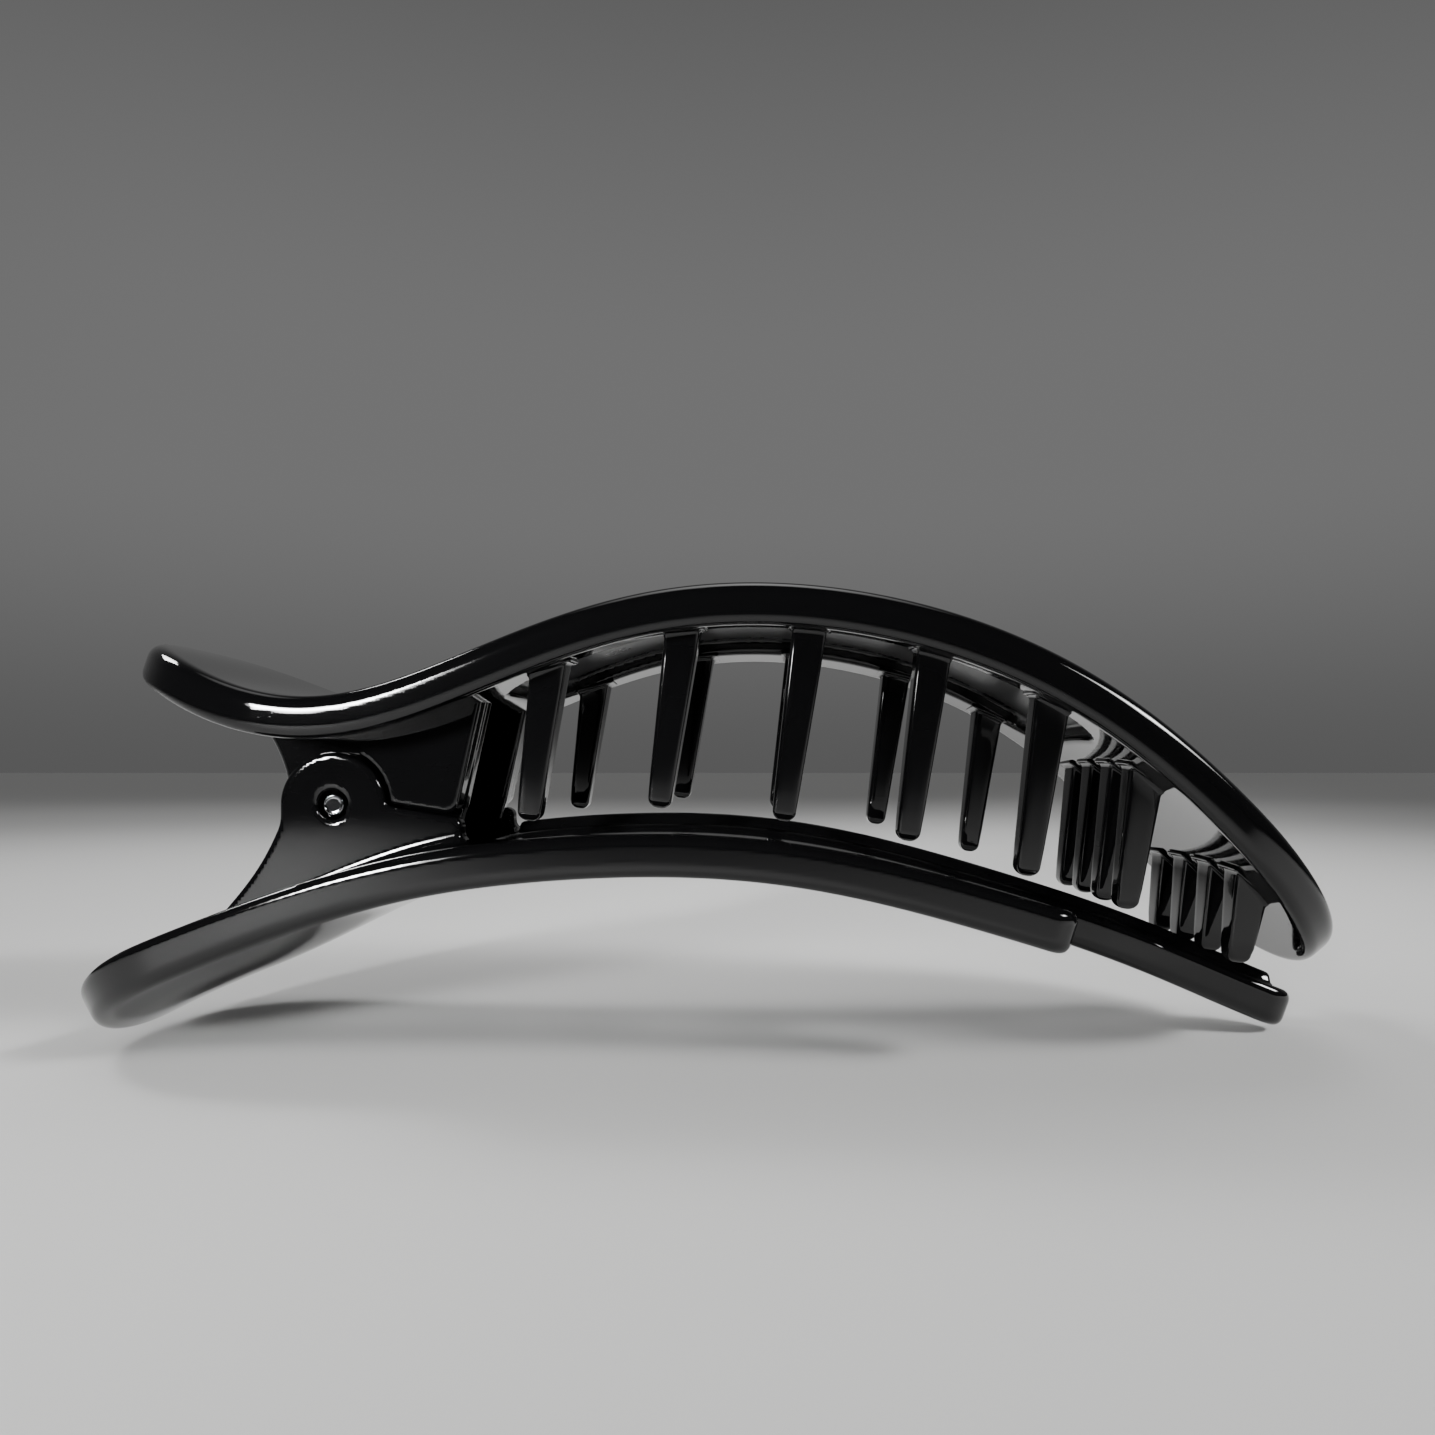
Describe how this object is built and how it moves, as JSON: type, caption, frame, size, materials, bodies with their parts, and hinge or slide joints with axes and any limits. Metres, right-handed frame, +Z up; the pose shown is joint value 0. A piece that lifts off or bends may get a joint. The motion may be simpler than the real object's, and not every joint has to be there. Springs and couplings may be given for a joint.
{
  "type": "claw clip",
  "caption": "Flat-lay hair claw clip: arched upper jaw with rows of pegs and a forked lower jaw, sprung shut on one hinge pin behind which two finger handles spread.",
  "frame": {"origin": "centre of the closed clip's footprint box, on the surface it stands on", "axes": "+X along the clip from the finger handles to the tips, +Y across its width, +Z up through the arch"},
  "size_m": [0.1332, 0.038, 0.0488],
  "materials": {
    "gloss_black_plastic": "high-gloss injection-moulded, fine scuffs",
    "steel": "drawn wire, satin"
  },
  "bodies": {
    "lower": {"lower_jaw": "gloss_black_plastic", "hinge_pin": "steel", "torsion_spring": "steel"},
    "upper": {"upper_jaw": "gloss_black_plastic"}
  },
  "joints": [
    {"name": "jaw_hinge", "type": "hinge", "parent": "lower", "child": "upper", "pos_m": [-0.03935, 0, 0.0261], "axis": [0, -1, 0], "range_deg": [0, 35], "stiffness_Nm_per_rad": 0.15, "springref_deg": -45.84, "deforming": ["torsion_spring"]}
  ]
}
